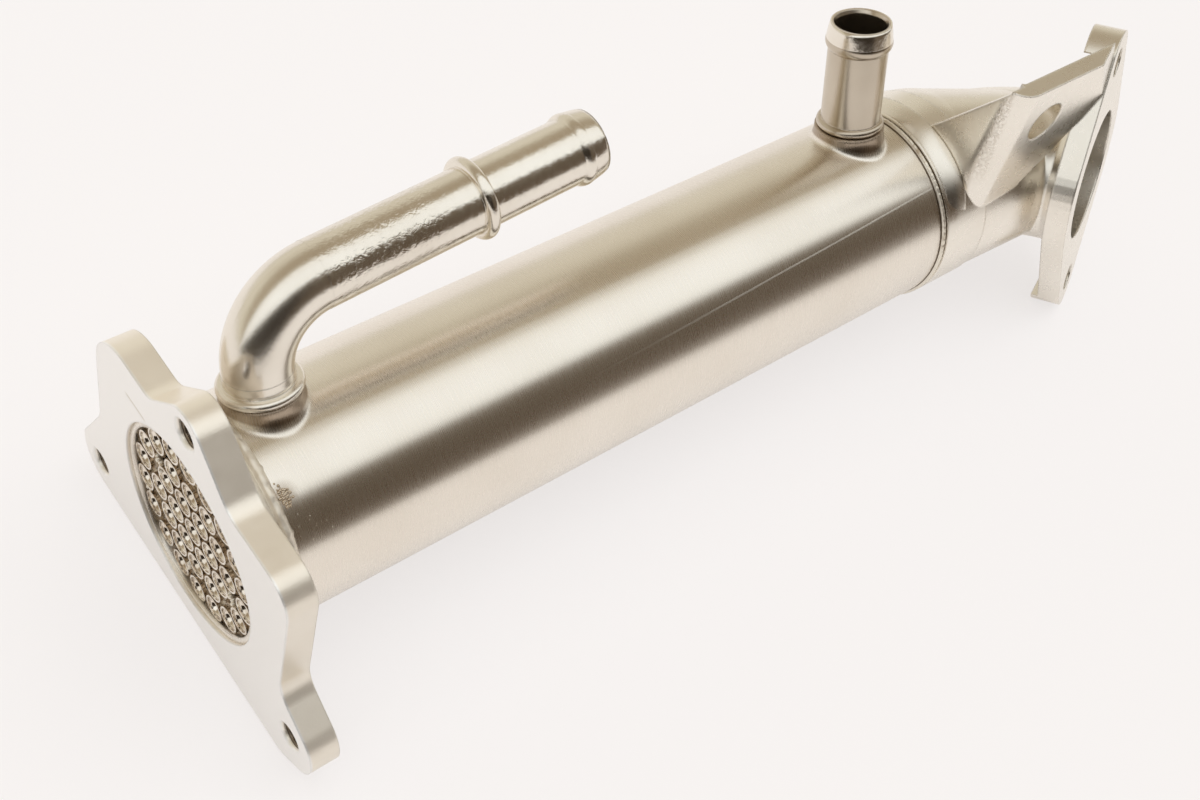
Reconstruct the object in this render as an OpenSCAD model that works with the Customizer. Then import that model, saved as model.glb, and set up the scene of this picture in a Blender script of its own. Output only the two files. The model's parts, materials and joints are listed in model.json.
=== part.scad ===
// Shell-and-tube cooler for recirculated exhaust gas.
// The gas enters at the three-ear flange, runs through the tube bundle and leaves
// by the side outlet. Coolant goes in and out by the two pipes on the shell.
// Origin: centre of the bore on the inlet gasket face. +X runs along the shell to
// the outlet. +Z is square to the straight foot of the inlet flange.

/* [Shell] */
// Outside diameter of the shell
shell_od = 55; // [52:0.5:60]
// Wall of the shell
shell_wall = 1.5; // [1:0.1:2]
// Inlet gasket face to the edge of the outlet collar
body_len = 220; // [180:1:300]
// How far the shell end sits behind the inlet gasket face
shell_recess = 0.8; // [0.2:0.1:2]
// Turn of the coolant pipes and the outlet casting about the shell axis
clock_deg = 19; // [15:0.5:22]

/* [Inlet flange] */
// Thickness of the flange
flange_thick = 7.5; // [6:0.5:12]
// Half the width of the flange body
flange_half_w = 40; // [38:0.5:44]
// Shell axis to the top edge of the flange body
flange_top = 32.5; // [31:0.5:36]
// Shell axis to the straight foot edge
flange_foot = 34; // [32:0.5:38]
// Corner radius of the flange body
corner_r = 8; // [4:0.5:12]
// Radius of the three ears
ear_r = 9; // [8:0.25:11]
// Drill for the tapped holes (M8)
tap_d = 6.8; // [5:0.1:8.5]
// Lower left ear, across
ear1_y = 41.5; // [38:0.5:48]
// Lower left ear, height
ear1_z = -26.5; // [-28:0.5:-20]
// Upper ear, across
ear2_y = 1.3; // [-8:0.1:8]
// Upper ear, height
ear2_z = 38.8; // [36:0.1:44]
// Lower right ear, across
ear3_y = -45.7; // [-50:0.1:-40]
// Lower right ear, height
ear3_z = -21; // [-25:0.5:-16]

/* [Tube bundle] */
// Outside diameter of a gas tube
tube_od = 6.9; // [5:0.1:7]
// Wall of a gas tube
tube_wall = 0.5; // [0.3:0.05:1]
// Centre distance of the tubes
tube_pitch = 7.6; // [7.3:0.1:7.7]
// Rings of tubes around the middle one
tube_rings = 3; // [1:1:3]
// Turn of the bundle about the shell
bundle_turn = -6.7; // [-30:0.1:30]
// How far the tube ends sit behind the inlet gasket face
tube_recess = 1.5; // [0.5:0.1:4]
// Depth of the inlet tube sheet behind the gasket face
sheet_depth = 9; // [6:0.5:12]
// Thickness of the tube sheets
sheet_thick = 2; // [1:0.25:4]

/* [Coolant pipes] */
// Outside diameter of both pipes
pipe_od = 16; // [14:0.25:18]
// Wall of both pipes
pipe_wall = 1.2; // [0.8:0.1:2]
// Outside diameter of the raised necks
neck_od = 19; // [18.5:0.25:21]
// How far the necks stand above the shell
neck_rise = 3.2; // [2:0.1:6]
// Outside diameter of the base beads
base_bead_od = 19.6; // [18.5:0.1:22]
// Outside diameter of the rolled lips near the pipe mouths
lip_od = 17.9; // [17:0.1:20]
// Mouth edge back to the middle of the rolled lip
lip_back = 5.2; // [4:0.1:8]
// Place of the elbow along the shell
elbow_x = 23.3; // [22:0.1:40]
// Shell axis to the start of the elbow's bend
elbow_bend_z = 35.4; // [35:0.1:45]
// Bend radius of the elbow
elbow_bend_r = 17.8; // [16:0.1:26]
// Bend angle of the elbow
elbow_deg = 86; // [70:0.5:90]
// Straight arm after the bend
elbow_arm = 74.8; // [55:0.1:100]
// Length of the hose part of the arm
hose_len = 33.8; // [25:0.1:45]
// Collar edge back to the straight stub
stub_back = 14.2; // [13.5:0.1:40]
// Shell axis to the mouth of the straight stub
stub_top = 61; // [50:0.2:80]

/* [Outlet casting] */
// Overlap of the shell in the socket collar
socket_depth = 5; // [3:0.5:8]
// Wall of the casting around the shell
collar_wall = 0.9; // [0.6:0.1:3]
// Length of the round collar
collar_len = 16; // [10:0.5:24]
// Wall of the elbow
cast_wall = 2.6; // [2:0.1:4]
// Outside radius of the elbow at its outlet
outlet_r = 21.8; // [19:0.1:24]
// Collar edge to the start of the bend
bend_start = 24.2; // [20:0.1:30]
// Bend radius of the elbow
bend_r = 37.6; // [34:0.1:45]
// Bend angle of the elbow
bend_deg = 66; // [55:0.5:75]
// Thickness of the outlet flange
out_thick = 8.8; // [8:0.1:12]
// Thickness of the flange between the pads at its ends
out_plate = 6.6; // [5:0.1:7.5]
// Radius of the flange around the bore
out_body_r = 27; // [26:0.25:30]
// Radius of the flange ears
out_ear_r = 9.1; // [8:0.1:11]
// Bore centre to bolt centre
out_bolt = 36.9; // [35:0.1:40]
// Diameter of the flange bolt holes
out_hole_d = 8.4; // [6.4:0.1:10]

/* [Bracket lug] */
// Plate thickness of the lug
lug_thick = 5; // [4:0.25:7]
// Shell axis to the front of the lug
lug_front = 22.5; // [21:0.25:25]
// Shell axis to the top of the lug
lug_top = 56.5; // [50:0.5:60]
// Lean of the lug about the line of its hole
lug_lean = 3; // [0:0.5:5]
// Collar edge to the lug's end wall
lug_start = 7.7; // [6:0.1:10]
// Outside radius of the lug's fold
lug_fold_r = 7; // [6:0.25:9]
// Diameter of the lug hole
lug_hole_d = 12; // [8:0.1:14]
// Collar edge to the lug hole
lug_hole_x = 24.7; // [22:0.1:30]
// Shell axis to the lug hole
lug_hole_z = 42.9; // [40:0.1:46]

/* [Hidden] */
$fn = 96;
steel = [0.80, 0.77, 0.72];
cast = [0.82, 0.80, 0.76];
brown = [0.52, 0.46, 0.38];

shell_r = shell_od / 2;
shell_in = shell_r - shell_wall;
shell_end = body_len + socket_depth;
sheet2_x = body_len - 4;
tube_end = body_len + 1;
pipe_r = pipe_od / 2;
pipe_in = pipe_r - pipe_wall;
port_r = pipe_in + pipe_wall / 3;
neck_top = shell_r + neck_rise;
neck_base = neck_od / 2 + 2.6;
neck_sweep = 7;
bead_h = 2.4;
pipe_seat = shell_r - 1.5;
draw_step = 0.05;
stub_x = body_len - stub_back;
elbow_end = [elbow_bend_r * (1 - cos(elbow_deg)), elbow_bend_z + elbow_bend_r * sin(elbow_deg)];
collar_r = shell_r + collar_wall;
outlet_in = outlet_r - cast_wall;
bend_x = body_len + bend_start;
out_x = bend_x + bend_r * sin(bend_deg);
out_y = -bend_r * (1 - cos(bend_deg));
// The reducing cone runs out of the collar's dome into the bend, a little turned
dome_x = body_len + collar_len - 1;
cone_to = [bend_x + bend_r * sin(44), -bend_r * (1 - cos(44))];
cone_vec = cone_to - [dome_x, 0];
cone_len = norm(cone_vec);
cone_turn = atan2(cone_vec[1], cone_vec[0]);
dome_r = collar_r - 0.4;
cone_lean = asin((dome_r - outlet_r + 0.2) / cone_len);

// The outermost ring lies on a circle, half a step round from the hexagon inside it. The
// bundle closes up when a smaller shell leaves less room.
ring_r = min(0.98 * tube_rings * tube_pitch, shell_in - tube_od / 2 - 0.3);
pitch = ring_r / (0.98 * tube_rings);
row_h = pitch * sqrt(3) / 2;
inner = tube_rings - 1;
ring_step = 60 / tube_rings;
hex_at = [
    for (row = [-inner:inner])
        for (k = [0:2 * inner - abs(row)])
            [pitch * (k - inner + abs(row) / 2), row * row_h]
];
ring_at = [
    for (k = [0:6 * tube_rings - 1])
        ring_r * [cos((k + 0.5) * ring_step), sin((k + 0.5) * ring_step)]
];
tube_at = [
    for (p = concat(hex_at, ring_at))
        [p[0] * cos(bundle_turn) - p[1] * sin(bundle_turn), p[0] * sin(bundle_turn) + p[1] * cos(bundle_turn)]
];
tube_names = [for (i = [0:len(tube_at) - 1]) str("gas_tube_", i + 1)];

// Points of an arc, about every five degrees
function arc(c, r, a0, a1) =
    let (n = max(1, ceil(abs(a1 - a0) / 5)))
    [for (i = [0:n]) [c[0] + r * cos(a0 + (a1 - a0) * i / n), c[1] + r * sin(a0 + (a1 - a0) * i / n)]];

function unit(v) = v / norm(v);
function bearing(v) = atan2(v[1], v[0]);
function turn_by(a) = a > 180 ? a - 360 : a < -180 ? a + 360 : a;

// One corner [x, y, radius] of a closed outline, as an arc that touches both sides
function corner(p, before, after, r) =
    let (
        u = unit(before - p),
        v = unit(after - p),
        half = acos(u * v) / 2,
        c = p + unit(u + v) * r / sin(half),
        a = bearing(p + u * r / tan(half) - c),
        b = bearing(p + v * r / tan(half) - c)
    )
    arc(c, r, a, a + turn_by(b - a));

function flat(p) = [p[0], p[1]];

// Outline through corners, each rounded by its own radius
function rounded(path) =
    let (n = len(path))
    [for (i = [0:n - 1])
        each path[i][2] == 0 ? [flat(path[i])]
            : corner(flat(path[i]), flat(path[(i + n - 1) % n]), flat(path[(i + 1) % n]), path[i][2])];

// Round bar or bore along +X
module rod_x(from, len, r) {
    translate([from, 0, 0]) rotate([0, 90, 0]) cylinder(h = len, r = r);
}

// Solid of a flat outline drawn in Y and Z, thickened along +X
module plate_x(from, thick) {
    translate([from, 0, 0]) rotate([90, 0, 90]) linear_extrude(thick) children();
}

// Ring of half-round section around the Z axis
module bead(z, r_in, r_out, h) {
    translate([0, 0, z]) rotate_extrude() intersection() {
        translate([r_out - h / 2, 0]) circle(d = h);
        translate([r_in, -h]) square([r_out, 2 * h]);
    }
    translate([0, 0, z - h / 2]) difference() {
        cylinder(h = h, r = r_out - h / 2);
        translate([0, 0, -1]) cylinder(h = h + 2, r = r_in);
    }
}

// Rolled lip of a pipe mouth that lies at this height of the Z axis
module lip(mouth) {
    roll = 2.6;
    translate([0, 0, mouth - lip_back]) rotate_extrude() intersection() {
        translate([lip_od / 2 - roll, 0]) circle(r = roll);
        translate([pipe_r - 0.5, -roll - 1]) square([roll + 3, 2 * roll + 2]);
    }
}

// Turns the coolant pipes and the outlet casting to their place about the axis
module clocked() {
    rotate([-clock_deg, 0, 0]) children();
}

// Corners of the inlet flange, from the foot's right end round by the three ears
flange_path = [
    [ear3_y + 2.5, -flange_foot, 6],
    [ear1_y + 1.55 * ear_r, -flange_foot, ear_r],
    [flange_half_w, ear1_z + 22.5, 12],
    [flange_half_w, flange_top, 1.6 * corner_r],
    [ear2_y + 15, flange_top, 6],
    [ear2_y, ear2_z + 1.08 * ear_r, 0.9 * ear_r],
    [ear2_y - 18, flange_top, 8],
    [-flange_half_w, flange_top, corner_r],
    [-flange_half_w, ear3_z + 13.5, 8],
    [ear3_y - 1.9 * ear_r, ear3_z - 0.7, ear_r]
];

module inlet_flange() {
    color(cast) difference() {
        plate_x(0, flange_thick) polygon(rounded(flange_path));
        rod_x(-1, flange_thick + 2, shell_r);
        for (p = [[ear1_y, ear1_z], [ear2_y, ear2_z], [ear3_y, ear3_z]])
            translate([0, p[0], p[1]]) {
                rod_x(-1, flange_thick + 2, tap_d / 2);
                translate([-0.01, 0, 0]) rotate([0, 90, 0])
                    cylinder(h = 0.7, r1 = tap_d / 2 + 0.7, r2 = tap_d / 2);
            }
    }
}

module neck(x) {
    clocked() translate([x, 0, 0]) {
        cylinder(h = neck_top, r = neck_od / 2);
        // The drawn metal sweeps up into the neck
        translate([0, 0, shell_r + 2.4]) rotate_extrude() difference() {
            translate([neck_od / 2 - 2, -9]) square([neck_base - neck_od / 2 + 2, 9]);
            translate([neck_od / 2 + neck_sweep, 0]) circle(r = neck_sweep);
        }
    }
}

module shell() {
    color(steel) difference() {
        union() {
            rod_x(shell_recess, shell_end - shell_recess, shell_r);
            neck(elbow_x);
            neck(stub_x);
        }
        rod_x(-1, shell_end + 2, shell_in);
        for (x = [elbow_x, stub_x])
            clocked() translate([x, 0, 0]) {
                cylinder(h = neck_top + 1, r = port_r);
                translate([0, 0, pipe_seat]) cylinder(h = neck_top, r = pipe_r + draw_step);
            }
    }
}

module tube_sheet(x) {
    color(steel) difference() {
        rod_x(x, sheet_thick, shell_in);
        for (p = tube_at) translate([0, p[0], p[1]]) rod_x(x - 1, sheet_thick + 2, tube_od / 2);
    }
}

module inlet_tube_sheet() {
    tube_sheet(sheet_depth);
}

module outlet_tube_sheet() {
    tube_sheet(sheet2_x);
}

module gas_tube(p) {
    color(steel) translate([0, p[0], p[1]]) difference() {
        rod_x(tube_recess, tube_end - tube_recess, tube_od / 2);
        rod_x(0, tube_end + 2, tube_od / 2 - tube_wall);
    }
}

// The bent pipe's run, for its skin and for its bore. The straight lengths lap the
// bend by a hair, as a drawn pipe does.
module elbow_run(r, arm, over) {
    lap = 0.5;
    translate([0, 0, pipe_seat - over]) cylinder(h = elbow_bend_z - pipe_seat + over + lap, r = r + draw_step);
    translate([elbow_bend_r, 0, elbow_bend_z]) rotate([90, 0, 0]) rotate([0, 0, 180 - elbow_deg])
        rotate_extrude(angle = elbow_deg) translate([elbow_bend_r, 0]) circle(r = r);
    elbow_mouth() translate([0, 0, -lap]) cylinder(h = arm + lap, r = r + draw_step);
}

// Moves what lies along +Z onto the elbow's arm
module elbow_mouth() {
    translate([elbow_end[0], 0, elbow_end[1]]) rotate([0, elbow_deg, 0]) children();
}

module coolant_elbow() {
    color(steel) clocked() translate([elbow_x, 0, 0]) difference() {
        union() {
            elbow_run(pipe_r, elbow_arm, 0);
            bead(neck_top + bead_h / 2, pipe_r - 0.5, base_bead_od / 2, bead_h);
            elbow_mouth() {
                bead(elbow_arm - hose_len, pipe_r - 0.5, base_bead_od / 2 + 0.2, 3.2);
                lip(elbow_arm);
            }
        }
        elbow_run(pipe_in, elbow_arm + 1, 1);
        elbow_mouth() translate([0, 0, elbow_arm - 1])
            cylinder(h = 1.2, r1 = pipe_in, r2 = pipe_in + 0.6);
    }
}

module coolant_stub() {
    color(steel) clocked() translate([stub_x, 0, 0]) difference() {
        union() {
            translate([0, 0, pipe_seat]) cylinder(h = stub_top - pipe_seat, r = pipe_r + draw_step);
            bead(neck_top + bead_h / 2, pipe_r - 0.5, base_bead_od / 2 - 0.6, bead_h);
            lip(stub_top);
        }
        translate([0, 0, pipe_seat - 1]) cylinder(h = stub_top, r = pipe_in);
        translate([0, 0, stub_top - 1]) cylinder(h = 1.2, r1 = pipe_in, r2 = pipe_in + 0.6);
    }
}

// The casting's run from the collar into the outlet flange. A shrink of nothing gives
// its skin, and a shrink of the wall gives its bore.
module outlet_run(shrink) {
    into = 3;
    intersection() {
        translate([dome_x, 0, 0]) sphere(r = dome_r - 1.25 * shrink);
        rod_x(dome_x, 2 * collar_r, 2 * collar_r);
    }
    dome = dome_r - 1.25 * shrink;
    start = dome * sin(cone_lean);
    translate([dome_x, 0, 0]) rotate([0, 90, cone_turn]) translate([0, 0, start])
        cylinder(h = cone_len - start, r1 = dome * cos(cone_lean) - 0.1, r2 = outlet_r - 0.2 - shrink);
    translate([bend_x, -bend_r, 0]) rotate([0, 0, 90 - bend_deg - into])
        rotate_extrude(angle = bend_deg + into) translate([bend_r, 0]) circle(r = outlet_r - shrink);
}

// Moves what lies along +X to the outlet end of the bend
module at_outlet() {
    translate([out_x, out_y, 0]) rotate([0, 0, -bend_deg]) children();
}

// Two-ear outline of the outlet flange
out_lean = asin((out_body_r - out_ear_r) / out_bolt);
out_path = concat(
    arc([0, 0], out_body_r, -out_lean, out_lean),
    arc([0, out_bolt], out_ear_r, out_lean, 180 - out_lean),
    arc([0, 0], out_body_r, 180 - out_lean, 180 + out_lean),
    arc([0, -out_bolt], out_ear_r, 180 + out_lean, 360 - out_lean)
);

// The flange thins out between its end pads
module outlet_flange() {
    pad = out_bolt + out_hole_d / 2 + 0.4;
    plate_x(out_thick - out_plate, out_plate) polygon(out_path);
    intersection() {
        plate_x(0, out_thick) polygon(out_path);
        for (s = [-1, 1]) translate([-1, -20, s * (pad + 20) - 20]) cube([out_thick + 2, 40, 40]);
    }
}

// The duct flares into the waist of the flange
module outlet_flare() {
    back = -9;
    front = out_thick - 1.4;
    foot = outlet_r - 1.8;
    hollow = outlet_in - 1.7;
    rise = out_body_r - 0.3 - foot;
    sweep = 2 * atan(rise / (front - back));
    flare_r = (front - back) / sin(sweep);
    rotate([0, 90, 0]) rotate_extrude() difference() {
        translate([hollow, back]) square([foot + rise - hollow, front - back]);
        translate([foot + flare_r, back]) circle(r = flare_r);
    }
}

// Folded lug: an end wall from the collar's crest and a front plate with the hole
module lug() {
    x0 = body_len + lug_start;
    y0 = -lug_front;
    reach = 60;
    low = [x0 + 15.5, 11.5];
    rise = [x0 + 42, 40];
    plan = [
        [x0, y0, lug_fold_r],
        [x0 + reach, y0, 0],
        [x0 + reach, y0 + lug_thick, 0],
        [x0 + lug_thick, y0 + lug_thick, lug_fold_r - lug_thick],
        [x0 + lug_thick, 0.7, 0],
        [x0, 0.7, 0]
    ];
    translate([0, y0, lug_hole_z]) rotate([-lug_lean, 0, 0]) translate([0, -y0, -lug_hole_z]) difference() {
        translate([0, 0, 4]) linear_extrude(lug_top - 4) polygon(rounded(plan));
        // Sloping top of the end wall, down to the crest of the collar
        translate([x0 - 1, 0, 0]) rotate([90, 0, 90]) linear_extrude(lug_thick + 1.5)
            polygon([[1.5, collar_r - 1.4], [-18, lug_top - 0.7], [-18, lug_top + 9], [9, lug_top + 9], [9, 9]]);
        // Free lower edge of the front plate
        translate([0, 1, 0]) rotate([90, 0, 0]) linear_extrude(lug_front + 2)
            polygon([[x0 - 1, -9], [x0 - 1, 8], [x0 + 7, 8.5], low, rise, [x0 + reach + 20, rise[1]], [x0 + reach + 20, -9]]);
        translate([body_len + lug_hole_x, 1, lug_hole_z]) rotate([90, 0, 0])
            cylinder(h = lug_front + 2, r = lug_hole_d / 2);
    }
}

module outlet_elbow() {
    color(cast) difference() {
        union() {
            clocked() {
                rod_x(body_len, collar_len, collar_r);
                outlet_run(0);
                at_outlet() {
                    outlet_flange();
                    outlet_flare();
                }
            }
            // The lug ends just behind the gasket face
            difference() {
                lug();
                clocked() at_outlet() translate([out_thick - 0.6, -80, -80]) cube([60, 160, 160]);
            }
        }
        rod_x(body_len - 1, socket_depth + 1, shell_r);
        rod_x(body_len, collar_len, shell_in - 0.8);
        clocked() {
            outlet_run(cast_wall);
            at_outlet() {
                rod_x(0.8, out_thick + 2, outlet_in + 0.3);
                for (s = [-1, 1])
                    translate([0, 0, s * out_bolt]) rod_x(-1, out_thick + 2, out_hole_d / 2);
            }
        }
    }
}

module inlet_weld() {
    color(brown) rotate([0, 90, 0]) rotate_extrude() intersection() {
        translate([shell_r, flange_thick]) circle(r = 2.6);
        translate([shell_r, flange_thick]) square(5);
    }
}

module outlet_weld() {
    color(brown) rotate([0, 90, 0]) rotate_extrude() intersection() {
        translate([shell_r - 0.2, body_len - 1.08]) circle(r = 1.1);
        translate([shell_r, body_len - 5]) square(5);
    }
}

inlet_flange();
shell();
coolant_elbow();
coolant_stub();
outlet_elbow();
inlet_weld();
outlet_weld();
inlet_tube_sheet();
outlet_tube_sheet();
for (i = [0:len(tube_at) - 1])
    gas_tube(tube_at[i]);
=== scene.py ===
import json
import math
import random

import bmesh
import bpy
from mathutils import Matrix, Quaternion, Vector


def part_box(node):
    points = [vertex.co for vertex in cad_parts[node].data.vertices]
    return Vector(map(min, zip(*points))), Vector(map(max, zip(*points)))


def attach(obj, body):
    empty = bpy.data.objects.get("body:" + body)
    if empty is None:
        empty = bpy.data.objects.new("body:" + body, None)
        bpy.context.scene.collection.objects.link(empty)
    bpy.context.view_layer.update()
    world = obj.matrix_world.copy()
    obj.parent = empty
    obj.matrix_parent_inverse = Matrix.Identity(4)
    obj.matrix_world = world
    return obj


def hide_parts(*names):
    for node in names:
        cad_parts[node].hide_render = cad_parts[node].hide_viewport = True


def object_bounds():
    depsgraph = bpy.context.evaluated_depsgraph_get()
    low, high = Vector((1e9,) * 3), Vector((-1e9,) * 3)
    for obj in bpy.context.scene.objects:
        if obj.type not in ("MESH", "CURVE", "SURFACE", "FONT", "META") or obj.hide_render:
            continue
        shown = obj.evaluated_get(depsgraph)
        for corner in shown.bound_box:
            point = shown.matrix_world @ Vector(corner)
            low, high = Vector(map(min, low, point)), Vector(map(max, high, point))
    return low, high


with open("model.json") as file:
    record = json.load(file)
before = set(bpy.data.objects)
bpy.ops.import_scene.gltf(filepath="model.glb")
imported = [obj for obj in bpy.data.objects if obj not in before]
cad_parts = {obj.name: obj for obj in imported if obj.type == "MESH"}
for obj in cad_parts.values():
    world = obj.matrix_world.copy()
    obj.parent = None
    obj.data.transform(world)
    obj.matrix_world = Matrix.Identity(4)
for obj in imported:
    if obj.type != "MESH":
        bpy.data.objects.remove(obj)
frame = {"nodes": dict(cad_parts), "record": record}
cadLow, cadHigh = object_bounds()
nodes = frame["nodes"]
print("frame loaded,", len(nodes), "solids")

# sizes shared by several pieces, in metres
shellRadius = 0.0275    # outside of the shell
collarRadius = 0.0284   # outside of the casting's collar
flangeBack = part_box("inlet_flange")[1].x
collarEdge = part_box("outlet_elbow")[0].x
closingBead = [corner.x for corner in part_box("outlet_weld")]


# node helpers

def newMaterial(name):
    mat = bpy.data.materials.new(name)
    mat.use_nodes = True
    tree = mat.node_tree
    return mat, tree, tree.nodes["Principled BSDF"]


def addNode(tree, kind, inputs=None, **settings):
    node = tree.nodes.new(kind)
    for key, value in settings.items():
        setattr(node, key, value)
    for key, value in (inputs or {}).items():
        if isinstance(value, bpy.types.NodeSocket):
            tree.links.new(value, node.inputs[key])
        else:
            node.inputs[key].default_value = value
    return node


def mathNode(tree, operation, a, b=0.0, c=None):
    inputs = {0: a, 1: b}
    if c is not None:
        inputs[2] = c
    return addNode(tree, "ShaderNodeMath", inputs, operation=operation).outputs[0]


def times(tree, a, b):
    return mathNode(tree, "MULTIPLY", a, b)


def awayFrom(tree, value, middle):
    return mathNode(tree, "ABSOLUTE", mathNode(tree, "SUBTRACT", value, middle))


def vectorNode(tree, operation, a, b=None, output=0):
    inputs = {0: a} if b is None else {0: a, 1: b}
    return addNode(tree, "ShaderNodeVectorMath", inputs, operation=operation).outputs[output]


def remap(tree, value, low, high, toLow=0.0, toHigh=1.0, smooth=False):
    inputs = {"Value": value, "From Min": low, "From Max": high, "To Min": toLow, "To Max": toHigh}
    kind = "SMOOTHSTEP" if smooth else "LINEAR"
    return addNode(tree, "ShaderNodeMapRange", inputs, interpolation_type=kind, clamp=True).outputs[0]


def noise(tree, vector, scale, detail=2.0, rough=0.5, distortion=0.0):
    inputs = {"Vector": vector, "Scale": scale, "Detail": detail, "Roughness": rough}
    inputs["Distortion"] = distortion
    return addNode(tree, "ShaderNodeTexNoise", inputs).outputs["Fac"]


def blendColors(tree, factor, a, b):
    node = addNode(tree, "ShaderNodeMix", None, data_type="RGBA")
    for index, value in ((0, factor), (6, a), (7, b)):
        if isinstance(value, bpy.types.NodeSocket):
            tree.links.new(value, node.inputs[index])
        else:
            node.inputs[index].default_value = (*value, 1.0)
    return node.outputs[2]


def objectAxes(tree):
    coords = addNode(tree, "ShaderNodeTexCoord").outputs["Object"]
    split = addNode(tree, "ShaderNodeSeparateXYZ", {0: coords})
    return coords, split.outputs[0], split.outputs[1], split.outputs[2]


def bumpOver(tree, height, strength, distance, normal=None):
    inputs = {"Height": height, "Strength": strength, "Distance": distance}
    if normal is not None:
        inputs["Normal"] = normal
    return addNode(tree, "ShaderNodeBump", inputs).outputs[0]


def softEdges(tree, radius):
    return addNode(tree, "ShaderNodeBevel", {"Radius": radius}, samples=6).outputs[0]


def spotMask(tree, coords, centre, inner, outer):
    away = vectorNode(tree, "DISTANCE", coords, centre, "Value")
    return remap(tree, away, inner, outer, 1.0, 0.0, smooth=True)


def wireUp(tree, shader, color, rough, normal, metallic):
    tree.links.new(color, shader.inputs["Base Color"])
    tree.links.new(rough, shader.inputs["Roughness"])
    tree.links.new(normal, shader.inputs["Normal"])
    shader.inputs["Metallic"].default_value = metallic


# finishes

shellFinish = {
    "metal": (0.86, 0.805, 0.725),
    "dull": (0.82, 0.76, 0.675),
    "cloudScale": 38.0,
    "rough": (0.25, 0.31),
    "edge": 0.0014,
    "brushed": 0.78,         # share of the mirror blur that runs along the shell, across the strokes
    "strokeAlong": 4200.0,   # brush strokes run round the shell, this many per metre along it
    "strokeRound": 150.0,
    "strokeHeight": 0.000008,
    "strokeEnd": (0.0001, 0.0004),    # height above the round of the shell
    "neckTint": (0.0008, 0.0016),     # the same, where the drawn necks are painted dark brown as painted shade
    # painted shade: the dark brown that the drawn necks are painted
    "neck": (0.43, 0.35, 0.27),
    "scratch": (0.95, 0.90, 0.82),
    "scratchFrom": 0.214,
    "scratchAngle": 35.0,    # degrees from the top at the collar end
    "scratchDrift": 81.0,    # degrees per metre toward the inlet
    "scratchWander": 0.02,   # radians
    "wanderScale": 30.0,
    "scratchWidth": 0.00022,
    "scratchFade": (0.085, 0.150),
    "scratchStop": (0.2185, 0.2165),
    "burn": (0.30, 0.22, 0.145),
    "burnSpot": ((0.0152, -0.0136, 0.0239), 0.0008, 0.0042),   # beside the inlet weld
    "burnBand": (-0.001, 0.003),      # along X from the collar's edge
    "burnShares": (0.9, 0.3),         # how strongly the spot and the band show
    "ragged": 0.006,
    "raggedScale": 260.0,
}


def scratchMask(tree, coords, x, turn):
    # the scratch drifts round the shell on its way from the collar
    look = shellFinish
    drift, angle = math.radians(look["scratchDrift"]), math.radians(look["scratchAngle"])
    fromCollar = mathNode(tree, "SUBTRACT", look["scratchFrom"], x)
    lineAngle = mathNode(tree, "MULTIPLY_ADD", fromCollar, drift, angle)
    wander = mathNode(tree, "SUBTRACT", noise(tree, coords, look["wanderScale"], 1.0), 0.5)
    wander = times(tree, wander, look["scratchWander"])
    off = times(tree, awayFrom(tree, mathNode(tree, "ADD", turn, wander), lineAngle), shellRadius)
    width = look["scratchWidth"]
    scratch = remap(tree, off, width * 0.5, width * 1.4, 1.0, 0.0, smooth=True)
    scratch = times(tree, scratch, remap(tree, x, *look["scratchFade"], smooth=True))
    return times(tree, scratch, remap(tree, x, *look["scratchStop"]))


def heatTint(tree, coords, x):
    # burnt patches beside the two welds
    look = shellFinish
    ragged = times(tree, noise(tree, coords, look["raggedScale"], 4.0, 0.65), look["ragged"])
    spot = spotMask(tree, coords, *look["burnSpot"])
    spot = times(tree, spot, remap(tree, ragged, look["ragged"] * 0.4, look["ragged"] * 0.6, 0.5, 1.0))
    low, high = (collarEdge + along for along in look["burnBand"])
    band = remap(tree, mathNode(tree, "ADD", x, ragged), low, high)
    spotShare, bandShare = look["burnShares"]
    return mathNode(tree, "MAXIMUM", times(tree, spot, spotShare), times(tree, band, bandShare))


def shellSteel():
    look = shellFinish
    mat, tree, shader = newMaterial("shellSteel")
    coords, x, y, z = objectAxes(tree)
    turn = mathNode(tree, "ARCTAN2", times(tree, y, -1.0), z)
    strokes = addNode(tree, "ShaderNodeCombineXYZ", {
        0: times(tree, x, look["strokeAlong"]),
        1: times(tree, times(tree, turn, shellRadius), look["strokeRound"]),
    }).outputs[0]
    brush = noise(tree, strokes, 1.0, 3.0, 0.6)
    cloud = noise(tree, coords, look["cloudScale"], 3.0, 0.55)
    # the drawn necks stand above the round of the shell and carry no strokes
    reach = mathNode(tree, "SQRT", mathNode(tree, "ADD", times(tree, y, y), times(tree, z, z)))
    rise = mathNode(tree, "SUBTRACT", reach, shellRadius)
    plain = remap(tree, rise, *look["strokeEnd"], 1.0, 0.0)
    # the necks are painted dark brown from here up: painted shade on the drawn necks
    neck = remap(tree, rise, *look["neckTint"], smooth=True)
    scratch = scratchMask(tree, coords, x, turn)
    color = blendColors(tree, remap(tree, cloud, 0.35, 0.7), look["metal"], look["dull"])
    color = blendColors(tree, neck, color, look["neck"])
    color = blendColors(tree, heatTint(tree, coords, x), color, look["burn"])
    color = blendColors(tree, times(tree, scratch, 0.8), color, look["scratch"])
    rough = mathNode(tree, "MULTIPLY_ADD", scratch, 0.3, remap(tree, brush, 0.3, 0.7, *look["rough"]))
    height = times(tree, mathNode(tree, "MULTIPLY_ADD", scratch, 2.5, brush), plain)
    normal = bumpOver(tree, height, 0.5, look["strokeHeight"], softEdges(tree, look["edge"]))
    wireUp(tree, shader, color, rough, normal, 1.0)
    alongShell = addNode(tree, "ShaderNodeCombineXYZ", {0: 1.0}).outputs[0]
    tree.links.new(alongShell, shader.inputs["Tangent"])
    shader.inputs["Anisotropic"].default_value = look["brushed"]
    return mat


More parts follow.
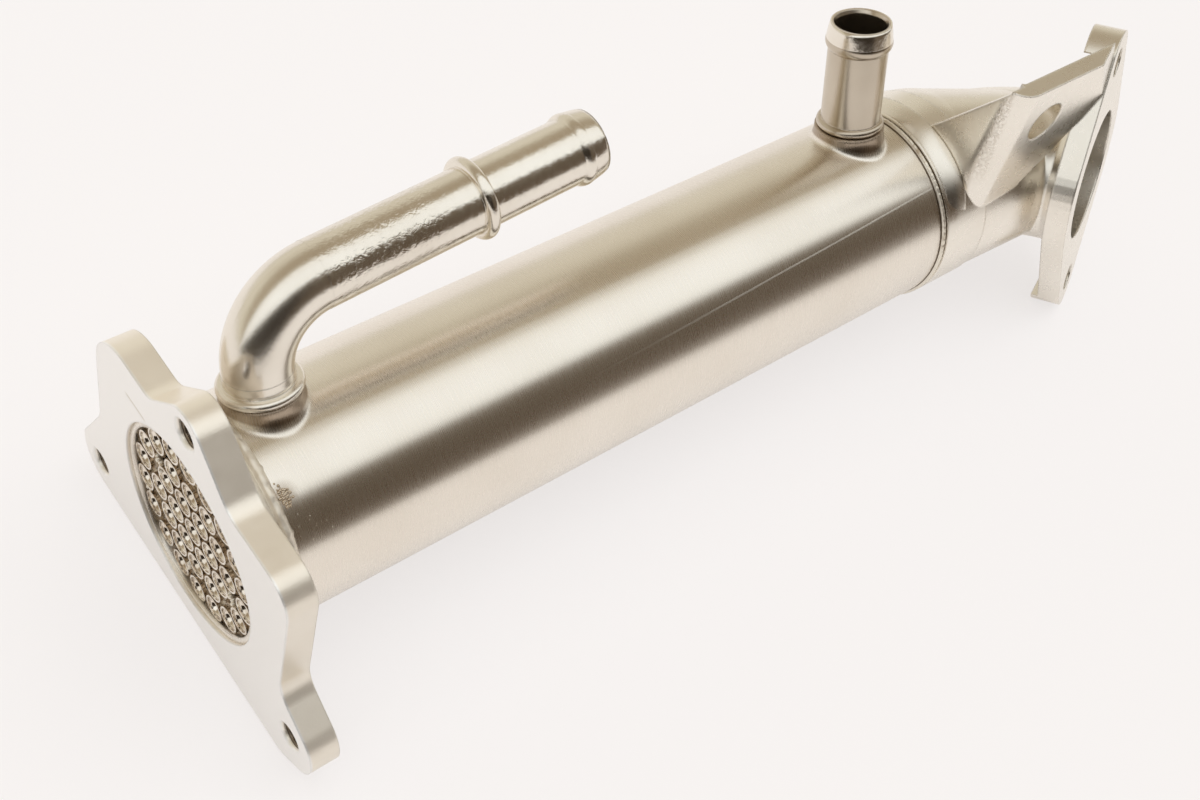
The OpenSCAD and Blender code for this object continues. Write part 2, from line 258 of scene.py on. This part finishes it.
pipeFinish = {
    "metal": (0.86, 0.81, 0.73),
    "dull": (0.80, 0.74, 0.655),
    "rough": (0.13, 0.24),
    "edge": 0.0005,
    "patchScale": 60.0,
    "pitScale": 760.0,
    "pitHeight": 0.00034,
    "pitsRise": (0.034, 0.046),   # along X, where the arm's pitted skin begins
    "pitsFade": (0.064, 0.074),   # and where it ends
    "pitsRest": 0.15,             # least share of the pits' depth on any stretch
    "leg": (0.026, 0.044),        # the leg before the bend is evenly dull and fades out here
    "legRough": 0.24,
}
# the stub's steel is the pipe's steel made darker: painted shade on the upright stub
stubShadeFinish = {
    "metal": (0.60, 0.53, 0.44),
    "dull": (0.53, 0.46, 0.37),
    "rough": (0.23, 0.25),
    "edge": 0.0005,
    "patchScale": 60.0,
    "pitScale": 760.0,
    "pitHeight": 0.00001,
    "pitsRise": (0.034, 0.046),
    "pitsFade": (0.064, 0.074),
    "pitsRest": 0.15,
}


def pipeSteel(name, look):
    mat, tree, shader = newMaterial(name)
    coords, x = objectAxes(tree)[:2]
    pits = noise(tree, coords, look["pitScale"], 3.0, 0.6, 0.4)
    patches = noise(tree, coords, look["patchScale"], 2.0, 0.5)
    color = blendColors(tree, remap(tree, patches, 0.35, 0.75), look["metal"], look["dull"])
    rough = remap(tree, pits, 0.35, 0.7, *look["rough"])
    if "leg" in look:
        arm = remap(tree, x, *look["leg"], smooth=True)
        rough = mathNode(tree, "SUBTRACT", rough, look["legRough"])
        rough = mathNode(tree, "MULTIPLY_ADD", rough, arm, look["legRough"])
    rest = look["pitsRest"]
    rise = remap(tree, x, *look["pitsRise"], smooth=True)
    fade = remap(tree, x, *look["pitsFade"], 1.0, rest, smooth=True)
    depth = mathNode(tree, "MULTIPLY_ADD", times(tree, rise, fade), 1.0 - rest, rest)
    normal = bumpOver(tree, times(tree, pits, depth), 0.5, look["pitHeight"], softEdges(tree, look["edge"]))
    wireUp(tree, shader, color, rough, normal, 1.0)
    return mat


castFinish = {
    "metal": (0.895, 0.85, 0.775),
    "dull": (0.85, 0.80, 0.72),
    "metallic": 1.0,
    "rough": (0.27, 0.29),
    "edge": 0.0008,
    "cloudScale": 45.0,
    "poreScale": 420.0,
    "grainScale": 1900.0,
    "grainHeight": 0.000004,
    "burn": (0.40, 0.32, 0.24),
    "burnSpots": (   # centre, inner and outer radius
        ((0.2205, -0.0203, 0.0197), 0.0008, 0.0044),
        ((0.2222, -0.0226, 0.0172), 0.0006, 0.0036),
    ),
    "fold": ((0.2283, -0.0181, 0.0467), (0.2296, -0.0218, 0.0182)),   # ends of the lug's fold
    "foldWidth": (0.0009, 0.0023),    # a strip of coarse grain along it
    "foldFade": (0.021, 0.032),       # heights between which it fades in
    "foldScale": 1300.0,
    "foldHeight": 0.00008,
    "foldFleck": (0.765, 0.71, 0.63),
}
flangeFinish = {
    "metal": (0.905, 0.845, 0.75),
    "dull": (0.865, 0.80, 0.70),
    "metallic": 0.63,
    "rough": (0.30, 0.36),
    "edge": 0.0007,
    "cloudScale": 45.0,
    "poreScale": 420.0,
    "grainScale": 1500.0,
    "grainHeight": 0.00004,
    # the gasket face is painted whiter and cooler than the flange: painted light for the white floor it
    # mirrors
    "face": (0.945, 0.93, 0.915),
    "faceDepth": (0.0002, 0.0007),    # behind the gasket face, where its painted light ends
    "mark": (0.0223, 0.0221),         # side and height of a faint short mark on the face
    "markLong": (0.0034, 0.0048),
    "markWide": (0.0002, 0.0006),
    "markDepth": (0.0002, 0.0006),
    "markShare": 0.6,
    "markColor": (0.56, 0.50, 0.41),
}


def foldFlecks(tree, look, coords, z):
    start, end = (Vector(point) for point in look["fold"])
    out = vectorNode(tree, "SUBTRACT", coords, start)
    off = vectorNode(tree, "CROSS_PRODUCT", out, (end - start).normalized())
    away = vectorNode(tree, "LENGTH", off, None, "Value")
    strip = remap(tree, away, *look["foldWidth"], 1.0, 0.0, smooth=True)
    strip = times(tree, strip, remap(tree, z, *look["foldFade"], smooth=True))
    coarse = noise(tree, coords, look["foldScale"], 1.0, 0.5)
    return times(tree, remap(tree, coarse, 0.44, 0.56), strip)


def faceMark(tree, look, x, y, z):
    along, across = awayFrom(tree, y, look["mark"][0]), awayFrom(tree, z, look["mark"][1])
    along = remap(tree, along, *look["markLong"], 1.0, 0.0)
    across = remap(tree, across, *look["markWide"], 1.0, 0.0)
    share = remap(tree, x, *look["markDepth"], look["markShare"], 0.0)
    return times(tree, times(tree, along, across), share)


def castSteel(name, look):
    mat, tree, shader = newMaterial(name)
    coords, x, y, z = objectAxes(tree)
    grain = noise(tree, coords, look["grainScale"], 2.0, 0.6)
    pores = noise(tree, coords, look["poreScale"], 3.0, 0.55)
    cloud = noise(tree, coords, look["cloudScale"], 3.0, 0.5)
    color = blendColors(tree, remap(tree, cloud, 0.35, 0.7), look["metal"], look["dull"])
    height = mathNode(tree, "MULTIPLY_ADD", pores, 0.8, grain)
    normal = bumpOver(tree, height, 0.5, look["grainHeight"], softEdges(tree, look["edge"]))
    for spot in look.get("burnSpots", ()):
        burnt = times(tree, spotMask(tree, coords, *spot), remap(tree, pores, 0.36, 0.62, 0.35, 1.0))
        color = blendColors(tree, burnt, color, look["burn"])
    if "fold" in look:
        flecks = foldFlecks(tree, look, coords, z)
        color = blendColors(tree, flecks, color, look["foldFleck"])
        normal = bumpOver(tree, flecks, 0.7, look["foldHeight"], normal)
    # painted light: the gasket face is painted whiter than the rest of the flange
    if "face" in look:
        color = blendColors(tree, remap(tree, x, *look["faceDepth"], 1.0, 0.0), color, look["face"])
    if "mark" in look:
        color = blendColors(tree, faceMark(tree, look, x, y, z), color, look["markColor"])
    rough = remap(tree, pores, 0.35, 0.7, *look["rough"])
    wireUp(tree, shader, color, rough, normal, look["metallic"])
    return mat


bundleFinish = {
    "metal": (0.87, 0.81, 0.72),
    "braze": (0.66, 0.57, 0.47),
    "rough": (0.08, 0.14),
    "edge": 0.0002,
    "blotScale": 300.0,
    "blotHeight": 0.00008,
}


def bundleSteel():
    look = bundleFinish
    mat, tree, shader = newMaterial("bundleSteel")
    coords = objectAxes(tree)[0]
    blot = noise(tree, coords, look["blotScale"], 3.0, 0.6)
    color = blendColors(tree, remap(tree, blot, 0.35, 0.65), look["metal"], look["braze"])
    rough = remap(tree, blot, 0.3, 0.7, *look["rough"])
    normal = bumpOver(tree, blot, 0.4, look["blotHeight"], softEdges(tree, look["edge"]))
    wireUp(tree, shader, color, rough, normal, 1.0)
    return mat


weldFinish = {
    "metal": (0.84, 0.78, 0.68),
    "burn": (0.50, 0.41, 0.31),
    "metallic": 0.8,
    "rough": (0.40, 0.50),
    "cloudScale": 120.0,
    "lumpScale": 700.0,
    "lumpHeight": 0.00018,
}
beadFinish = {
    **weldFinish,
    "metallic": 0.9,
    "rough": (0.28, 0.42),
    "crevice": (0.00055, 0.0007),   # off the bead's middle, the strips beside it are painted dark between these: painted shade in the crevices
    "creviceShadeColor": (0.13, 0.095, 0.065),
}
spatterFinish = {
    **weldFinish,
    "metal": (0.60, 0.50, 0.385),
    "burn": (0.22, 0.16, 0.10),
    "metallic": 1.0,
    "rough": (0.16, 0.34),
}
# the threads are painted near black: painted shade inside the tapped holes
threadShadeFinish = {
    **weldFinish,
    "metal": (0.25, 0.20, 0.15),
    "burn": (0.14, 0.11, 0.08),
    "metallic": 1.0,
    "rough": (0.22, 0.36),
}
brazeFinish = {
    **weldFinish,
    "metal": (0.44, 0.36, 0.27),
    "burn": (0.26, 0.20, 0.14),
    "metallic": 1.0,
    "rough": (0.2, 0.34),
}


def weldSteel(name, look):
    mat, tree, shader = newMaterial(name)
    coords, x = objectAxes(tree)[:2]
    lumps = noise(tree, coords, look["lumpScale"], 4.0, 0.65)
    cloud = noise(tree, coords, look["cloudScale"], 3.0, 0.6)
    color = blendColors(tree, remap(tree, cloud, 0.56, 0.72), look["metal"], look["burn"])
    # painted shade: dark strips along both sides of the bead, where the crevices are
    if "crevice" in look:
        off = awayFrom(tree, x, sum(closingBead) / 2)
        color = blendColors(tree, remap(tree, off, *look["crevice"]), color, look["creviceShadeColor"])
    rough = remap(tree, lumps, 0.3, 0.7, *look["rough"])
    wireUp(tree, shader, color, rough, bumpOver(tree, lumps, 0.6, look["lumpHeight"]), look["metallic"])
    return mat


finishes = {
    "shell": shellSteel(),
    "pipe": pipeSteel("pipeSteel", pipeFinish),
    "stub": pipeSteel("stubShadeSteel", stubShadeFinish),
    "casting": castSteel("castSteel", castFinish),
    "flange": castSteel("flangeSteel", flangeFinish),
    "bundle": bundleSteel(),
    "weld": weldSteel("weldSteel", weldFinish),
    "spatter": weldSteel("spatterSteel", spatterFinish),
    "thread": weldSteel("threadShadeSteel", threadShadeFinish),
    "braze": weldSteel("brazeSteel", brazeFinish),
    "bead": weldSteel("beadSteel", beadFinish),
}
slotOf = {part["node"]: part["material_slot"] for part in frame["record"]["subparts"]}
for name, solid in nodes.items():
    solid.data.materials.clear()
    solid.data.materials.append(finishes["stub" if name == "coolant_stub" else slotOf[name]])
print("finishes set:", ", ".join(sorted(finishes)))


# pieces built over the solids

def addPiece(name, bm, material, replaced=()):
    bmesh.ops.recalc_face_normals(bm, faces=bm.faces)
    mesh = bpy.data.meshes.new(name)
    bm.to_mesh(mesh)
    bm.free()
    mesh.polygons.foreach_set("use_smooth", [True] * len(mesh.polygons))
    mesh.materials.append(material)
    piece = bpy.data.objects.new(name, mesh)
    bpy.context.scene.collection.objects.link(piece)
    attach(piece, "root")
    if replaced:
        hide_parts(*replaced)


def spinRing(bm, section, steps):
    # a closed section of (along X, radius) points, spun once round the X axis
    verts = [bm.verts.new((x, 0.0, r)) for x, r in section]
    edges = [bm.edges.new((verts[k - 1], verts[k])) for k in range(len(verts))]
    before = len(bm.verts) - len(verts)
    bmesh.ops.spin(bm, geom=verts + edges, cent=(0, 0, 0), axis=(1, 0, 0), angle=2 * math.pi,
                   steps=steps, use_merge=True)
    return list(bm.verts)[before:]


def turnOf(v):
    return math.atan2(-v.co.y, v.co.z)


def reachOf(v):
    return math.hypot(v.co.y, v.co.z)


def scaleReach(v, factor):
    v.co.y *= factor
    v.co.z *= factor


# the fillet weld behind the flange: a slope, a thin crevice and a low ridge with an uneven toe
inletBead = {
    "slope": ((0.0, 0.0024), (0.0012, 0.0018), (0.0024, 0.0013), (0.0034, 0.0010)),   # along, up
    "crevice": ((0.0037, 0.0003), (0.0039, 0.0003)),
    "ridge": ((0.0042, 0.0009), (0.0049, 0.0011), (0.0056, 0.0008), (0.0062, 0.0002)),
    "ridgeFrom": 0.0038,
    "toe": 0.0064,
    "sink": 0.0001,
    "sway": 0.000162,
    "waves": ((9, 1.0, 0.4), (23, 0.8, 1.9), (57, 0.7, 0.0), (101, 0.4, 2.0)),   # per turn, weight, phase
    "humps": (41, 0.09, 0.9),
    "steps": 480,
}


def makeInletBead():
    look = inletBead
    bm = bmesh.new()
    top = [*look["slope"], *look["crevice"], *look["ridge"]]
    outline = [(0.0, -look["sink"]), *top, (look["toe"], -look["sink"])]
    ring = spinRing(bm, [(flangeBack + x, shellRadius + rise) for x, rise in outline], look["steps"])
    perTurn, share, phase = look["humps"]
    for v in ring:
        away = v.co.x - flangeBack
        rise = reachOf(v) - shellRadius
        if away < look["ridgeFrom"] or rise < 0.0:
            continue
        turn = turnOf(v)
        wave = sum(weight * math.sin(count * turn + shift) for count, weight, shift in look["waves"])
        v.co.x += look["sway"] * wave * (away - look["ridgeFrom"]) / (look["toe"] - look["ridgeFrom"])
        scaleReach(v, 1.0 + rise * share * math.sin(perTurn * turn + phase) / shellRadius)
    addPiece("inletBead", bm, finishes["weld"], ("inlet_weld",))


# the bead that closes the collar, with its ripples
outletBead = {
    "rise": 0.00080,
    "half": 0.00060,
    "base": 0.00012,       # the bead's foot, on a strip that falls to the edge
    "edge": 0.00008,
    "sink": 0.0002,
    "shoulder": 0.96,      # the round starts a little inside the bead's half width
    "points": 7,
    "ripple": 0.14,
    "rippleFrom": 0.0002,
    "ripples": 92,
    "steps": 736,
}


def makeOutletBead():
    look = outletBead
    middle = sum(closingBead) / 2
    half = (closingBead[1] - closingBead[0]) / 2
    side = [(half, -look["sink"]), (half, look["edge"]), (look["half"], look["base"])]
    outline = [(-x, rise) for x, rise in side]
    for k in range(look["points"]):
        t = math.pi * k / (look["points"] - 1)
        along = -look["half"] * math.cos(t) * look["shoulder"]
        outline.append((along, look["base"] + look["rise"] * math.sin(t)))
    outline += reversed(side)
    bm = bmesh.new()
    ring = spinRing(bm, [(middle + x, shellRadius + rise) for x, rise in outline], look["steps"])
    for v in ring:
        rise = reachOf(v) - shellRadius
        if rise > look["rippleFrom"]:
            lap = (turnOf(v) / (2 * math.pi) * look["ripples"]) % 1.0
            scaleReach(v, 1.0 - rise * look["ripple"] * lap * lap / shellRadius)
    addPiece("outletBead", bm, finishes["bead"], ("outlet_weld",))


# the raised lip of the casting's collar, which fades out down both sides
collarLip = {
    "from": 0.0008,
    "length": 0.0068,
    "foot": ((0.0, -0.0006), (0.0, 0.00003)),     # along from the lip's start, up
    "crest": ((-0.0005, 0.00094), (-0.0002, 0.0010), (0.0, 0.0008), (0.0002, -0.0006)),   # from its end
    "tuck": 0.0003,            # how far the faded lip lies under the collar's skin
    "full": (-45.0, 38.0),     # degrees from the top
    "gone": (-70.0, 62.0),
    "steps": 240,
}


def makeCollarLip():
    look = collarLip
    start = collarEdge + look["from"]
    end = start + look["length"]
    outline = [(start + x, rise) for x, rise in look["foot"]]
    outline += [(end + x, rise) for x, rise in look["crest"]]
    bm = bmesh.new()
    ring = spinRing(bm, [(x, collarRadius + rise) for x, rise in outline], look["steps"])
    for v in ring:
        turn = math.degrees(turnOf(v))
        near = (look["gone"][1] - turn) / (look["gone"][1] - look["full"][1])
        far = (turn - look["gone"][0]) / (look["full"][0] - look["gone"][0])
        keep = max(0.0, min(1.0, near, far))
        keep = keep * keep * (3.0 - 2.0 * keep)
        rise = reachOf(v) - collarRadius
        if rise > 0.0:
            scaleReach(v, (collarRadius + rise * keep - look["tuck"] * (1.0 - keep)) / reachOf(v))
    addPiece("collarLip", bm, finishes["casting"])


# a rolled throat just inside each tube mouth, and the braze that climbs its outside
throatLook = {
    "wall": 0.0005,
    "clear": 0.00001,
    "from": 0.0003,
    "length": 0.0046,
    "depth": 0.0011,
    "points": 12,
    "steps": 30,
}
brazeLook = {
    "clear": 0.00002,
    "from": 0.0010,
    "drop": 0.0012,
    "reach": 0.0011,
    "hollow": 0.3,     # share of the reach half-way down
    "sole": 0.0006,
    "steps": 30,
}


def throatOutline(mouth, outer):
    look = throatLook
    start, bore = mouth + look["from"], outer - look["wall"]
    outline = []
    for k in range(look["points"]):
        t = k / (look["points"] - 1)
        pinch = look["depth"] * (0.5 - 0.5 * math.cos(2 * math.pi * t))
        outline.append((start + look["length"] * t, bore - look["clear"] - pinch))
    return outline + [(start + look["length"] * 0.5, bore - look["clear"] * 0.5)]


def brazeOutline(mouth, outer):
    look = brazeLook
    top, foot = mouth + look["from"], mouth + look["from"] + look["drop"]
    inside, outside = outer + look["clear"], outer + look["reach"]
    return [(top, inside), (top + 0.5 * look["drop"], outer + look["hollow"] * look["reach"]),
            (foot, outside), (foot + look["sole"], outside), (foot + look["sole"], inside)]


def makeTubeEnds():
    throats, collars = bmesh.new(), bmesh.new()
    for name in sorted(nodes):
        if not name.startswith("gas_tube_"):
            continue
        low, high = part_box(name)
        centre = (0.0, 0.5 * (low.y + high.y), 0.5 * (low.z + high.z))
        outer = 0.5 * (high.y - low.y)
        throat = spinRing(throats, throatOutline(low.x, outer), throatLook["steps"])
        bmesh.ops.translate(throats, vec=centre, verts=throat)
        collar = spinRing(collars, brazeOutline(low.x, outer), brazeLook["steps"])
        bmesh.ops.translate(collars, vec=centre, verts=collar)
    addPiece("tubeThroats", throats, finishes["bundle"])
    addPiece("brazeCollars", collars, finishes["braze"])


# braze that ran between tube ends, each run a short row of balls
brazeRuns = {
    "runs": (   # side and height of its middle, length, turn in degrees
        (0.0158, 0.0066, 0.0042, 62.0),
        (-0.0163, -0.0062, 0.0046, 66.0),
        (0.0205, -0.0106, 0.0022, 20.0),
        (0.0021, -0.0188, 0.0020, 80.0),
    ),
    "balls": 5,
    "radius": 0.00062,
    "taper": 0.7,
    "odd": 0.00008,       # every second ball is this much larger
    "depth": 0.0007,      # behind the tube ends, in steps of the next value
    "stagger": 0.0002,
    "flat": 0.0008,
    "stretch": (1.1, 1.3),
}


def makeBraze():
    look = brazeRuns
    bm = bmesh.new()
    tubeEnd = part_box("gas_tube_1")[0].x
    for side, height, length, turn in look["runs"]:
        a = math.radians(turn)
        for k in range(look["balls"]):
            t = k / (look["balls"] - 1) - 0.5
            r = look["radius"] * (1.0 - look["taper"] * abs(t)) + look["odd"] * (k % 2)
            along = tubeEnd + look["depth"] + look["stagger"] * (k % 3)
            place = (along, side + length * t * math.cos(a), height + length * t * math.sin(a))
            ball = bmesh.ops.create_icosphere(bm, subdivisions=2, radius=1.0)["verts"]
            size = (look["flat"], r * look["stretch"][0], r * look["stretch"][1])
            bmesh.ops.scale(bm, vec=size, verts=ball)
            bmesh.ops.translate(bm, vec=place, verts=ball)
    addPiece("brazeSpots", bm, finishes["weld"])


# spatter on the shell beside the inlet weld: a cluster of flat brown drops, and pale specks farther off
spatterLook = {
    "along": 0.0152,
    "turn": 30.0,
    "spread": (0.00062, 0.00105),   # along the shell and round it
    "drops": 80,
    "size": (0.0002, 0.00044),
    "flat": 0.6,
    "weldEnd": 0.006,               # no drop lies nearer to the flange's back
    "seed": 5,
}
speckLook = {
    "along": 0.0182,
    "turn": 44.0,
    "spread": (0.0018, 0.0026),
    "drops": 11,
    "size": (0.00007, 0.00015),
    "flat": 0.6,
    "weldEnd": 0.006,
    "seed": 12,
}


def makeDrops(name, look, material):
    pick = random.Random(look["seed"])
    bm = bmesh.new()
    for drop in range(look["drops"]):
        along = max(look["along"] + pick.gauss(0, look["spread"][0]), flangeBack + look["weldEnd"])
        turn = math.radians(look["turn"]) + pick.gauss(0, look["spread"][1]) / shellRadius
        r = pick.uniform(*look["size"])
        place = (along, -shellRadius * math.sin(turn), shellRadius * math.cos(turn))
        ball = bmesh.ops.create_icosphere(bm, subdivisions=2, radius=1.0)["verts"]
        bmesh.ops.scale(bm, vec=(r, r, r * look["flat"]), verts=ball)
        bmesh.ops.rotate(bm, cent=(0, 0, 0), matrix=Matrix.Rotation(turn, 3, "X"), verts=ball)
        bmesh.ops.translate(bm, vec=place, verts=ball)
    addPiece(name, bm, material)


# turns of thread in the three tapped holes
threadLook = {"pitch": 0.00125, "height": 0.00055, "foot": 0.00056, "perTurn": 30, "inset": 0.0003}


def makeThreads():
    look = threadLook
    foot = look["foot"]
    bm = bmesh.new()
    for mount in frame["record"]["mounts"]:
        if mount["kind"] != "threaded_hole":
            continue
        centre = (0.0, mount["pos_m"][1], mount["pos_m"][2])
        root = mount["dims"]["r_mm"] / 1000.0
        start = look["inset"] + foot
        turns = (flangeBack - 2 * start) / look["pitch"]
        steps = int(turns * look["perTurn"])
        corners = ((start - foot, root), (start, root - look["height"]), (start + foot, root))
        verts = [bm.verts.new((x, centre[1], centre[2] + r)) for x, r in corners]
        face = bm.faces.new(verts)
        bmesh.ops.spin(bm, geom=[face] + list(face.edges) + verts, cent=centre, axis=(1, 0, 0),
                       angle=2 * math.pi * turns, dvec=(look["pitch"] * turns / steps, 0, 0), steps=steps)
    # the threads' near-black colour is painted shade
    addPiece("tapThreads", bm, finishes["thread"])


# the rolled lip runs out smoothly to each pipe mouth
lipLook = {
    "pipe": 0.00803,
    "crest": 0.00892,
    "back": 0.0052,
    "round": 0.75,
    "sink": 0.0003,
    "points": 7,
    "steps": 64,
}


def lipOutline():
    look = lipLook
    inside = look["pipe"] - look["sink"]
    outline = [(-look["back"], inside)]
    for k in range(look["points"]):
        left = 1.0 - k / (look["points"] - 1)
        rise = (look["crest"] - look["pipe"]) * left ** look["round"]
        outline.append((-look["back"] * left, look["pipe"] + rise))
    return outline + [(0.0, inside)]


def makeLips():
    look = lipLook
    bm = bmesh.new()
    for mount in frame["record"]["mounts"]:
        if not mount["name"].endswith("_nipple"):
            continue
        # the mouth's middle is on the axis, short of the box's end by the tilted rim
        node = "coolant_" + mount["name"].split("_")[0]
        axis, place = Vector(mount["axis"]), Vector(mount["pos_m"])
        main = max(range(3), key=lambda i: abs(axis[i]))
        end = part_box(node)[1][main] - look["pipe"] * math.sqrt(1.0 - axis[main] ** 2)
        mouth = place + axis * ((end - place[main]) / axis[main])
        ring = spinRing(bm, lipOutline(), look["steps"])
        bmesh.ops.rotate(bm, cent=(0, 0, 0), matrix=axis.to_track_quat("X", "Z").to_matrix(), verts=ring)
        bmesh.ops.translate(bm, vec=mouth, verts=ring)
    addPiece("pipeLips", bm, finishes["pipe"])


makeInletBead()
makeOutletBead()
makeCollarLip()
makeTubeEnds()
makeBraze()
makeDrops("weldSpatter", spatterLook, finishes["spatter"])
makeDrops("weldSpecks", speckLook, finishes["weld"])
makeThreads()
makeLips()
print("beads, tube ends, braze, spatter, threads and lips made")


# floor, light and camera

floorLook = {
    "color": (0.938, 0.910, 0.902),
    "rough": 0.9,
    "evenShare": 0.74,      # share of plain white that the eye sees
    "mirrorShare": 0.42,    # and that the metal mirrors
    "middle": (0.14, 0.0),
    "reach": 20.0,
    "drop": 0.0001,
}


def makeFloor():
    look = floorLook
    bm = bmesh.new()
    bmesh.ops.create_grid(bm, x_segments=1, y_segments=1, size=look["reach"])
    bmesh.ops.translate(bm, verts=bm.verts, vec=(*look["middle"], cadLow.z - look["drop"]))
    mesh = bpy.data.meshes.new("studioFloor")
    bm.to_mesh(mesh)
    bm.free()
    floor = bpy.data.objects.new("studioFloor", mesh)
    bpy.context.scene.collection.objects.link(floor)
    mat, tree, shader = newMaterial("floorPaper")
    shader.inputs["Base Color"].default_value = (*look["color"], 1.0)
    shader.inputs["Roughness"].default_value = look["rough"]
    shader.inputs["Specular IOR Level"].default_value = 0.0
    # seen by the eye or in the metal, the paper is evenly white and keeps a light shadow
    path = addNode(tree, "ShaderNodeLightPath")
    seen = times(tree, path.outputs["Is Camera Ray"], look["evenShare"])
    seen = mathNode(tree, "MULTIPLY_ADD", path.outputs["Is Glossy Ray"], look["mirrorShare"], seen)
    seen = mathNode(tree, "MULTIPLY_ADD", path.outputs["Is Transmission Ray"], look["mirrorShare"], seen)
    even = addNode(tree, "ShaderNodeEmission", {"Color": (*look["color"], 1.0), "Strength": 1.0})
    share = addNode(tree, "ShaderNodeMixShader", {0: seen, 1: shader.outputs[0], 2: even.outputs[0]})
    tree.links.new(share.outputs[0], tree.nodes["Material Output"].inputs["Surface"])
    mesh.materials.append(mat)


# the room as the shell mirrors it, by angle from straight up: minus is the far side, plus the near side
roomLook = {
    "bands": (
        (-90.0, (0.74, 0.70, 0.60)),
        (-64.0, (0.73, 0.68, 0.57)),
        (-54.0, (0.66, 0.61, 0.50)),
        (-42.0, (0.46, 0.40, 0.30)),
        (-26.0, (0.40, 0.33, 0.235)),
        (-13.0, (0.46, 0.40, 0.30)),
        (-7.5, (1.02, 1.02, 0.98)),
        (12.0, (1.05, 1.07, 1.07)),
        (36.0, (1.06, 1.08, 1.06)),
        (42.5, (0.17, 0.136, 0.10)),
        (54.0, (0.13, 0.103, 0.075)),
        (78.0, (0.12, 0.09, 0.065)),
        (90.0, (0.20, 0.16, 0.12)),
    ),
    "nearAngle": (38.0, 50.0),    # the near side is darker where the viewer stands
    "nearSide": (0.25, -0.15),
    "nearShare": 0.72,
    "strength": 1.0,
}


def makeRoom():
    look = roomLook
    world = bpy.data.worlds.new("studioRoom")
    bpy.context.scene.world = world
    world.use_nodes = True
    tree = world.node_tree
    way = addNode(tree, "ShaderNodeTexCoord").outputs["Generated"]
    split = addNode(tree, "ShaderNodeSeparateXYZ", {0: way})
    angle = mathNode(tree, "ARCTAN2", times(tree, split.outputs[1], -1.0), split.outputs[2])
    ramp = addNode(tree, "ShaderNodeValToRGB", {0: remap(tree, angle, -math.pi, math.pi)})
    stops = ramp.color_ramp.elements
    while len(stops) > 1:
        stops.remove(stops[-1])
    for index, (degrees, color) in enumerate(look["bands"]):
        position = 0.5 + degrees / 360.0
        stop = stops[0] if index == 0 else stops.new(position)
        stop.position = position
        stop.color = (*color, 1.0)
    low, high = (math.radians(degrees) for degrees in look["nearAngle"])
    near = times(tree, remap(tree, angle, low, high, smooth=True),
                 remap(tree, split.outputs[0], *look["nearSide"], smooth=True))
    shade = blendColors(tree, times(tree, near, look["nearShare"]), ramp.outputs[0], (0.0, 0.0, 0.0))
    background = tree.nodes["Background"]
    tree.links.new(shade, background.inputs["Color"])
    background.inputs["Strength"].default_value = look["strength"]


overheadBox = {"place": (0.12, 0.0, 2.2), "aim": (0.12, 0.0, 0.0), "size": (3.0, 3.0), "watts": 28.0}


def makeLamp():
    look = overheadBox
    data = bpy.data.lights.new("overheadBox", "AREA")
    data.shape = "RECTANGLE"
    data.size, data.size_y = look["size"]
    data.energy = look["watts"]
    lamp = bpy.data.objects.new("overheadBox", data)
    lamp.location = look["place"]
    aim = Vector(look["aim"]) - Vector(look["place"])
    lamp.rotation_mode = "QUATERNION"
    lamp.rotation_quaternion = aim.to_track_quat("-Z", "Y")
    lamp.visible_glossy = False  # the metal mirrors the room and not the lamp
    bpy.context.scene.collection.objects.link(lamp)


cameraView = {
    "eye": (-0.08921, -0.15871, 0.31678),
    "azimuth": -53.887,
    "elevation": 52.715,
    "roll": 20.367,
    "lens": 47.612,
    "sensor": 36.0,
    "clip": (0.01, 50.0),
}


def makeCamera():
    look = cameraView
    data = bpy.data.cameras.new("photoCamera")
    data.sensor_width = look["sensor"]
    data.lens = look["lens"]
    data.clip_start, data.clip_end = look["clip"]
    camera = bpy.data.objects.new("photoCamera", data)
    a, e = math.radians(look["azimuth"]), math.radians(look["elevation"])
    back = Vector((math.sin(a) * math.cos(e), -math.cos(a) * math.cos(e), math.sin(e)))
    camera.location = look["eye"]
    camera.rotation_mode = "QUATERNION"
    level = (-back).to_track_quat("-Z", "Y")
    camera.rotation_quaternion = level @ Quaternion((0.0, 0.0, 1.0), math.radians(look["roll"]))
    bpy.context.scene.collection.objects.link(camera)
    bpy.context.scene.camera = camera


makeFloor()
makeRoom()
makeLamp()
makeCamera()
bpy.context.scene.view_settings.view_transform = "Standard"
print("floor, room, lamps and camera ready")
